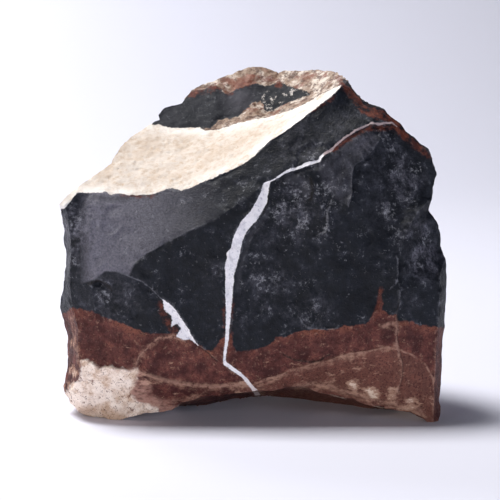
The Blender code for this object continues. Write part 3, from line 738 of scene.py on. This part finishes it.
# flakes anywhere hard, chips where it is worn, nibbled ridges, and pits in what is soft
def scarRise(part):
    soft = part["soft"]
    hard = np.flatnonzero((soft < 0.2) & (part["vein"] < 0.2))
    flakes = scars("flakes", hard, stepped=True)
    flakes *= 1.0 - relief["sheenFaceShield"] * part["frostAndSheen"]
    wear = fields["worn"][hard] ** 2 * seen[hard]
    chips = scars("chips", hard, wear / wear.sum(), stepped=True)
    ridges = np.unique(ends[sharp])
    ridges = ridges[(soft[ridges] < 0.5) & (points[ridges, 2] > 1.0)]
    nibbles = scars("nibbles", ridges)
    softSpots = np.flatnonzero(part["cortex"] + part["foot"] + part["crust"] > 0.8)
    pits = scars("pits", softSpots)
    return -(flakes + chips + nibbles) * (1.0 - soft) - pits * soft


def raised(points):
    part = surfaceShares()
    rise = grainRise(part) + stepRise() + scarRise(part)
    print("relief laid on: up to", round(float(np.abs(rise).max()), 2), "mm")
    low = np.array(cadLow) / mm + relief["boxGap"]
    high = np.array(cadHigh) / mm - relief["boxGap"]
    return np.clip(points + normals * rise[:, None], low, high)


# how far each point stands out from its neighbours: ridges up, creases down
def bulge():
    shape = points - neighbourMean(points, ends, edgeCount)
    stand = (shape * pointNormals(points, faces)).sum(axis=1)
    length = np.linalg.norm(points[ends[:, 0]] - points[ends[:, 1]], axis=1)
    reach = np.bincount(ends.ravel(), np.repeat(length, 2), len(points)) / edgeCount
    bent = spreadOut(stand / np.maximum(reach, 0.05) ** 2, ends, edgeCount, 2)
    return np.clip(bent, -3.0, 3.0)


points = raised(points)
fields["bulge"] = bulge()


def buildStone():
    mesh = bpy.data.meshes.new("roughStone")
    mesh.from_pydata([tuple(p) for p in points * mm], [], [tuple(f) for f in faces.tolist()])
    mesh.update()
    stone = placed("roughStone", mesh)
    mesh.shade_smooth()
    mesh.set_sharp_from_angle(angle=surface["shadeCrease"])
    for name, values in fields.items():
        made = mesh.attributes.new(name + "Field", "FLOAT", "POINT")
        made.data.foreach_set("value", values.astype(np.float32))
    return stone


stone = buildStone()

# the stone's colours, as linear red, green and blue
colours = {
    "black": (0.0026, 0.0040, 0.0082), "blackPale": (0.0088, 0.0120, 0.0205),
    # the pale blue-grey here is partly pale haze and partly painted sheen
    "frostAndSheen": (0.200, 0.193, 0.235), "speck": (0.29, 0.295, 0.325),
    # the grey here is a painted highlight on bevels, and the near-black beside it partly cracks and partly
    # painted shadow
    "bevelHighlight": (0.045, 0.046, 0.058), "fissureAndShadow": (0.006, 0.004, 0.004),
    "brown": (0.050, 0.0115, 0.0115), "brownPale": (0.200, 0.066, 0.051),
    "brownDark": (0.040, 0.0085, 0.0080), "ember": (0.245, 0.084, 0.052),
    "lens": (0.195, 0.080, 0.058), "tan": (0.46, 0.275, 0.195), "tanPale": (0.78, 0.62, 0.50),
    "rust": (0.110, 0.024, 0.013), "rustPale": (0.205, 0.062, 0.037),
    "cortex": (0.68, 0.61, 0.555), "cortexStain": (0.48, 0.35, 0.245),
    "cortexPale": (0.90, 0.865, 0.835), "crust": (0.31, 0.220, 0.165),
    # the darkest crust colour is partly dark crust and partly painted shade in its hollows
    "crustPale": (0.72, 0.63, 0.56), "crustDark": (0.070, 0.028, 0.018),
    "crest": (0.012, 0.014, 0.020), "druse": (0.55, 0.51, 0.49),
    "chalk": (0.93, 0.81, 0.72), "chalkTan": (0.52, 0.335, 0.215),
    "chalkStain": (0.19, 0.085, 0.055), "chalkPink": (0.48, 0.275, 0.22),
    "vein": (0.95, 0.93, 0.97), "veinGrey": (0.40, 0.40, 0.50),
    "veinFoot": (0.80, 0.68, 0.64), "veinWarm": (0.42, 0.30, 0.30),
    # pale colours of the lines on edges and ridges, partly worn edges and partly painted highlight
    "seamBlack": (0.125, 0.127, 0.148), "seamBrown": (0.36, 0.205, 0.155),
}

# noises: size in mm, detail, roughness, and how they are squeezed across, in and up
noises = {
    "tiny": (0.38, 4.0, 0.65), "fleck": (0.75, 5.0, 0.72), "cloud": (2.6, 7.0, 0.70),
    "drift": (5.5, 5.0, 0.62), "streaks": (1.0, 3.0, 0.6, (2.0, 1.0, 0.8)),
    "layers": (2.4, 7.0, 0.72, (0.55, 1.0, 1.1)), "lumps": (3.1, 7.0, 0.72),
    "hollows": (1.7, 8.0, 0.80), "crystals": (1.9, 7.0, 0.8), "stains": (1.3, 8.0, 0.76),
    "blots": (1.15, 4.0, 0.6), "breaks": (1.1, 4.0, 0.55), "grit": (0.8, 4.0, 0.55),
}

# coats of each surface, the lowest first: the noise that a coat follows, where in that noise
# it starts and is full, its strength and its colour ("up" is the height in mm)
coats = {
    "black": [("cloud", 0.38, 0.72, 1.0, "blackPale"), ("fleck", 0.60, 0.80, 0.24, "speck")],
    "brown": [("cloud", 0.34, 0.74, 1.0, "brownPale"), ("drift", 0.50, 0.34, 0.6, "brownDark")],
    "brownFlecks": [("fleck", 0.55, 0.72, 0.50, "tan"), ("tiny", 0.52, 0.32, 0.8, "brownDark")],
    "foot": [("cloud", 0.44, 0.66, 0.75, "chalkTan")],
    "footStains": [("fleck", 0.55, 0.70, 0.85, "chalkStain"), ("tiny", 0.44, 0.30, 0.85, "chalkStain"),
                   ("blots", 0.615, 0.66, 0.85, "chalkStain")],
    # the crust's dark coat follows its hollows: partly dark crust, partly painted shade
    "crust": [("lumps", 0.46, 0.60, 1.0, "crustPale"), ("hollows", 0.47, 0.57, 0.85, "crustDark"),
              ("drift", 0.54, 0.66, 0.75, "rustPale")],
    "crest": [("fleck", 0.55, 0.75, 0.4, "speck")],
    "druse": [("crystals", 0.545, 0.60, 1.0, "druse")],
    "rust": [("fleck", 0.45, 0.68, 1.0, "rustPale")],
    "cortex": [("stains", 0.44, 0.70, 0.85, "cortexStain"), ("drift", 0.44, 0.62, 0.35, "cortexStain"),
               ("tiny", 0.42, 0.26, 0.75, "chalkTan")],
    "vein": [("fleck", 0.50, 0.74, 0.8, "veinGrey"), ("cloud", 0.52, 0.66, 0.35, "veinGrey"),
             ("up", 11.0, 5.0, 0.8, "veinFoot")],
}

# each area's edge: how far it wanders, the size of that and its softness in mm, then strength
edges = {
    "brown": (0.6, 1.0, 0.20, 1.0), "frostAndSheen": (0.15, 1.0, 0.30, 1.0), "sheen": (0.7, 1.6, 0.45, 0.22),
    "grey": (0.6, 0.7, 0.5, 0.6), "tanEdge": (0.8, 1.3, 0.70, 0.9), "lens": (0.6, 1.6, 0.7, 0.55),
    "dark": (0.35, 0.6, 0.25, 0.85), "pinkFoot": (1.0, 1.8, 0.9, 0.8), "foot": (0.9, 1.2, 0.45, 1.0),
    "crust": (0.5, 1.0, 0.14, 1.0), "crest": (0.5, 0.8, 0.12, 1.0), "druse": (0.8, 1.2, 0.25, 1.0),
    "rust": (1.1, 0.9, 0.4, 0.85), "cortex": (0.30, 0.7, 0.08, 1.0), "warm": (0.3, 1.0, 0.4, 0.85),
    "vein": (0.20, 0.6, 0.09, 1.0), "patch": (0.30, 0.45, 0.10, 1.0),
}

# its shine and its fine bump
finish = {
    "roughness": 0.42,  # of the smoothest black
    "roughGrit": 0.2,  # added to it by its grit, and so on
    "roughBrown": 0.12,
    "roughCrest": 0.2,
    "roughCortex": 0.3,
    "roughEdge": (0.2, 1.0, 0.3, 1.0),  # where the crest's and the cortex's begin
    "specular": 0.24,
    "bumpStrength": 0.9,
    "bumpDepth": 0.15 * mm,
}


# a material being built: most helpers add nodes and give back what they put out
class Paint:
    def __init__(self, name):
        self.material = bpy.data.materials.new(name)
        self.material.use_nodes = True
        self.nodes = self.material.node_tree.nodes
        self.links = self.material.node_tree.links
        self.sockets = self.nodes["Principled BSDF"].inputs
        self.place = self.stretched(self.add("TexCoord", {})["Object"], (1.0 / mm,) * 3)
        apart = self.add("SeparateXYZ", {0: self.place})
        self.known = {"across": apart["X"], "up": apart["Z"]}

    # a socket takes what another puts out, a number, or a colour by its name
    def join(self, value, socket):
        if isinstance(value, bpy.types.NodeSocket):
            self.links.new(value, socket)
        elif isinstance(value, str):
            socket.default_value = (*colours[value], 1.0)
        else:
            socket.default_value = value

    # a node with its sockets filled, by their names or numbers
    def add(self, kind, sockets, **settings):
        node = self.nodes.new("ShaderNode" + kind)
        for name, value in settings.items():
            setattr(node, name, value)
        for name, value in sockets.items():
            self.join(value, node.inputs[name])
        return node.outputs

    def stretched(self, place, scale):
        return self.add("VectorMath", {0: place, 1: scale}, operation="MULTIPLY")[0]

    def grain(self, size, detail=4.0, roughness=0.55, squeeze=None):
        place = self.stretched(self.place, squeeze) if squeeze else self.place
        return self.add("TexNoise", {"Vector": place, "Scale": 1.0 / size, "Detail": detail,
                                     "Roughness": roughness})["Fac"]

    # a noise by its name, made once
    def noise(self, name):
        if name not in self.known:
            self.known[name] = self.grain(*noises[name])
        return self.known[name]

    # distance to the edges of cells whose places are shaken by up to reach, sizes in mm
    def cracks(self, size, shake, reach):
        sway = self.add("TexNoise", {"Vector": self.place, "Scale": 1.0 / shake, "Detail": 4.0})
        push = self.add("VectorMath", {0: sway["Color"], 1: (reach,) * 3, 2: self.place},
                        operation="MULTIPLY_ADD")
        return self.add("TexVoronoi", {"Vector": push[0], "Scale": 1.0 / size},
                        feature="DISTANCE_TO_EDGE")["Distance"]

    def maths(self, kind, *values):
        return self.add("Math", dict(enumerate(values)), operation=kind)[0]

    # the base, with a share of something added
    def plus(self, base, value, share=1.0):
        return self.maths("MULTIPLY_ADD", value, share, base)

    def times(self, value, *others):
        for other in others:
            value = self.maths("MULTIPLY", value, other)
        return value

    # 0 at low, top at high, eased between
    def ramp(self, value, low, high, top=1.0):
        value = self.noise(value) if isinstance(value, str) else value
        return self.add("MapRange", {"Value": value, "From Min": low, "From Max": high,
                                     "To Max": top}, interpolation_type="SMOOTHSTEP")["Result"]

    def mix(self, factor, first, second):
        return self.add("Mix", {0: factor, 6: first, 7: second}, data_type="RGBA")[2]

    # layers over a colour, the lowest first: each a share and a colour
    def layered(self, colour, *layers):
        for share, coat in layers:
            colour = self.mix(share, colour, coat)
        return colour

    def coated(self, colour, name):
        rows = [(self.ramp(*row[:4]), row[4]) for row in coats[name]]
        return self.layered(colour, *rows)

    def field(self, name):
        return self.add("Attribute", {}, attribute_name=name + "Field")["Fac"]

    # how much of an area there is, within its wandering edge
    def area(self, name, edge=None):
        wander, size, softness, top = edge or edges[name]
        swing = self.maths("MULTIPLY_ADD", self.grain(size), 2.0 * wander, -wander)
        return self.ramp(self.plus(swing, self.field(name)), -softness, softness, top)


# painted sheen on the upper left face, strongest to the left where the light falls, with hazy places that
# are partly pale haze and partly painted sheen, and painted sheen on one facet
def sheenAndHazeShare(paint):
    face = paint.times(paint.ramp("across", -2.0, -32.0), paint.ramp("across", -35.6, -31.6),
                       paint.area("frostAndSheen"))
    hazeAndSheen = paint.times(paint.field("hazeAndSheen"), paint.ramp("cloud", 0.37, 0.63, 2.5),
                       paint.ramp("fleck", 0.34, 0.56))
    sheen = paint.times(paint.area("sheen"), paint.ramp("cloud", 0.26, 0.56))
    mottle = paint.plus(paint.times(paint.noise("tiny"), 0.7), paint.noise("streaks"), 0.3)
    return paint.times(paint.plus(paint.plus(hazeAndSheen, sheen), face), paint.ramp(mottle, 0.08, 0.72))


# black, with painted sheen on its upper left face and hazy places, a painted highlight on bevels, and thin
# pale cracks and specks where it is worn
def blackColour(paint):
    worn = paint.field("worn")
    clouded = paint.plus(paint.noise("cloud"), worn, 0.17)
    speckled = paint.plus(paint.noise("fleck"), worn, 0.19)
    cracks = paint.ramp(paint.cracks(3.4, 1.4, 4.2), 0.060, 0.0)
    return paint.layered(
        paint.coated("black", "black"),
        (sheenAndHazeShare(paint), "frostAndSheen"),
        (paint.area("grey"), "bevelHighlight"),
        (paint.ramp(clouded, 0.54, 0.84, 0.24), "frostAndSheen"),
        (paint.times(cracks, paint.ramp(clouded, 0.56, 0.72, 0.75)), "speck"),
        (paint.ramp(speckled, 0.62, 0.80, 0.85), "speck"),
    )


# brown, glowing along its top and tan on its lips
def brownColour(paint):
    glow = paint.times(paint.ramp(paint.field("brown"), 2.2, 0.2),
                       paint.ramp("drift", 0.42, 0.64, 0.75))
    lips = paint.times(paint.area("tanEdge"), paint.ramp("layers", 0.36, 0.60),
                       paint.ramp("fleck", 0.36, 0.58))
    patchy = paint.plus(paint.noise("layers"), paint.field("tan"), 0.30)
    brown = paint.layered(paint.coated("brown", "brown"), (paint.area("lens"), "lens"), (glow, "ember"))
    return paint.layered(
        paint.coated(brown, "brownFlecks"),
        (lips, "tan"),
        (paint.ramp(patchy, 0.62, 0.72, 0.8), "tan"),
        (paint.ramp(patchy, 0.73, 0.80, 0.9), "tanPale"),
    )


# pale lines along the drawn edges and on ridges that stand out, partly wear and partly painted highlight,
# and dark lines, partly cracks and partly painted shadow
def withLines(paint, body, ledge):
    pale = paint.mix(ledge, "seamBlack", "seamBrown")
    line = paint.times(paint.ramp(paint.maths("ABSOLUTE", paint.field("seamSide")), 2.0, 0.2),
                       paint.ramp(paint.field("seamGap"), 5.2, 3.6),
                       paint.ramp("breaks", 0.38, 0.60, 0.85))
    rubbedAndHighlit = paint.times(paint.ramp(paint.field("bulge"), 0.06, 0.36),
                         paint.ramp("fleck", 0.38, 0.62, 0.75))
    return paint.layered(body, (line, pale), (rubbedAndHighlit, pale), (paint.area("dark"), "fissureAndShadow"))


# the chalky foot, browner near the ground and pinkish towards the brown
def withFoot(paint, body):
    # browner towards the ground
    nearGround = paint.times(paint.ramp("up", 5.0, 0.5), paint.ramp("drift", 0.36, 0.60, 0.75))
    chalk = paint.mix(nearGround, paint.coated("chalk", "foot"), "chalkTan")
    turn = paint.times(paint.area("pinkFoot"), paint.ramp("layers", 0.34, 0.56))
    return paint.layered(body, (turn, "chalkPink"),
                         (paint.area("foot"), paint.coated(chalk, "footStains")))


# the black hollow behind the cortex, with its druse, and painted sheen where it is hazy
def crestColour(paint):
    return paint.layered(
        paint.coated("crest", "crest"),
        (paint.times(paint.field("hazeAndSheen"), 0.7), "frostAndSheen"),
        (paint.area("druse"), paint.coated("crest", "druse")),
    )


# cream, with a paler rim
def cortexColour(paint):
    rim = paint.times(paint.ramp(paint.field("cortex"), 2.4, 0.2),
                      paint.ramp("drift", 0.36, 0.60, 0.9))
    return paint.mix(rim, paint.coated("cortex", "cortex"), "cortexPale")


def setRoughness(paint, ledge):
    edge = finish["roughEdge"]
    grit = paint.ramp("grit", 0.3, 0.7, finish["roughGrit"])
    rough = paint.plus(grit, finish["roughness"])
    rough = paint.plus(rough, paint.area("crest", edge), finish["roughCrest"])
    rough = paint.plus(rough, ledge, finish["roughBrown"])
    rough = paint.plus(rough, paint.area("cortex", edge), finish["roughCortex"])
    paint.join(rough, paint.sockets["Roughness"])
    paint.join(finish["specular"], paint.sockets["Specular IOR Level"])


def setBump(paint):
    height = paint.plus(paint.noise("tiny"), paint.noise("streaks"), 0.25)
    height = paint.plus(height, paint.noise("fleck"), 0.9)
    bump = paint.add("Bump", {"Strength": finish["bumpStrength"],
                              "Distance": finish["bumpDepth"], "Height": height})
    paint.join(bump["Normal"], paint.sockets["Normal"])


def bandedChalcedony():
    paint = Paint("bandedChalcedony")
    ledge = paint.area("brown")
    body = paint.mix(ledge, blackColour(paint), brownColour(paint))
    rusty = paint.times(paint.area("rust"), paint.ramp("cloud", 0.36, 0.56))
    vein = paint.mix(paint.area("warm"), paint.coated("vein", "vein"), "veinWarm")
    body = paint.layered(
        withFoot(paint, withLines(paint, body, ledge)),
        (paint.area("crust"), paint.coated("crust", "crust")),
        (paint.area("crest"), crestColour(paint)),
        (rusty, paint.coated("rust", "rust")),
        (paint.area("cortex"), cortexColour(paint)),
        (paint.area("vein"), vein),
        (paint.area("patch"), vein),
    )
    paint.join(body, paint.sockets["Base Color"])
    setRoughness(paint, ledge)
    setBump(paint)
    return paint.material


stone.data.materials.append(bandedChalcedony())
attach(stone, "root")
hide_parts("stone")
print("stone dressed")

# floor and backdrop, one pale sheet with a soft bend: metres
stage = {
    "halfWidth": 1.2,
    "front": -0.60,
    "back": 0.9,
    "bend": 0.5,
    "bendSteps": 24,
    "height": 1.6,
    "colour": (0.725, 0.732, 0.835, 1.0),
    "roughness": 0.9,
}


def sweepProfile():
    bend, back = stage["bend"], stage["back"]
    profile = [(stage["front"], 0.0), (back - bend, 0.0)]
    for step in range(1, stage["bendSteps"] + 1):
        angle = step / stage["bendSteps"] * math.pi / 2
        profile.append((back - bend + bend * math.sin(angle), bend - bend * math.cos(angle)))
    return profile + [(back, stage["height"])]


def buildStage():
    profile = sweepProfile()
    half = stage["halfWidth"]
    verts = [(side, y, z) for y, z in profile for side in (-half, half)]
    quads = [(2 * k, 2 * k + 1, 2 * k + 3, 2 * k + 2) for k in range(len(profile) - 1)]
    mesh = bpy.data.meshes.new("paperSweep")
    mesh.from_pydata(verts, [], quads)
    mesh.shade_smooth()
    sweep = placed("paperSweep", mesh)
    paper = Paint("palePaper")
    paper.join(stage["colour"], paper.sockets["Base Color"])
    paper.join(stage["roughness"], paper.sockets["Roughness"])
    mesh.materials.append(paper.material)
    sweep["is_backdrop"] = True


buildStage()
print("floor laid")

# studio light: metres, watts, and the spot that each lamp faces
lights = {
    "key": {"at": (-0.23, 0.095, 0.61), "size": (0.28, 0.22), "power": 6.05,
            "tint": (1.0, 0.985, 0.96), "toward": (-0.24, -0.12, 0.0)},
    "front": {"at": (-0.60, -0.70, 0.085), "size": (0.40, 0.12), "power": 2.8,
              "tint": (1.0, 0.96, 0.92), "toward": (0.0, 0.0, 0.035)},
    "side": {"at": (0.50, -0.42, 0.12), "size": (0.40, 0.18), "power": 1.15,
             "tint": (0.82, 0.86, 1.0), "toward": (0.0, 0.0, 0.035)},
    "backdrop": {"at": (-0.45, 0.56, 0.46), "size": (0.3, 0.3), "power": 3.2,
                 "tint": (1.0, 1.0, 1.0), "toward": (-0.1, 0.75, 0.05)},
}
room = {"tint": (0.85, 0.86, 1.0, 1.0), "strength": 0.03}


def buildLights():
    for name, lamp in lights.items():
        data = bpy.data.lights.new(name, "AREA")
        data.shape = "RECTANGLE"
        data.size, data.size_y = lamp["size"]
        data.energy = lamp["power"]
        data.color = lamp["tint"]
        softbox = placed(name, data)
        softbox.location = lamp["at"]
        toward = Vector(lamp["toward"]) - Vector(lamp["at"])
        softbox.rotation_euler = toward.to_track_quat("-Z", "Y").to_euler()
    world = bpy.data.worlds.new("studio")
    world.use_nodes = True
    backdrop = world.node_tree.nodes["Background"]
    backdrop.inputs["Color"].default_value = room["tint"]
    backdrop.inputs["Strength"].default_value = room["strength"]
    bpy.context.scene.world = world


def buildCamera():
    data = bpy.data.cameras.new("view")
    camera = placed("view", data)
    camera.location = Vector(eyePoint * mm)
    camera.rotation_euler = (math.pi / 2 - eye["tilt"], 0.0, 0.0)
    data.sensor_width = eye["sensor"]
    data.lens = eye["sensor"] * eye["distance"] / (eye["unitsAcross"] * unit)
    half = eye["unitsAcross"] / 2
    data.shift_x = (half - eye["centre"][0]) / eye["unitsAcross"]
    data.shift_y = (eye["centre"][1] - half) / eye["unitsAcross"]
    data.clip_start = eye["nearest"] * mm
    bpy.context.scene.camera = camera


buildLights()
buildCamera()
bpy.context.scene.view_settings.view_transform = "Standard"
print("lights and camera set")
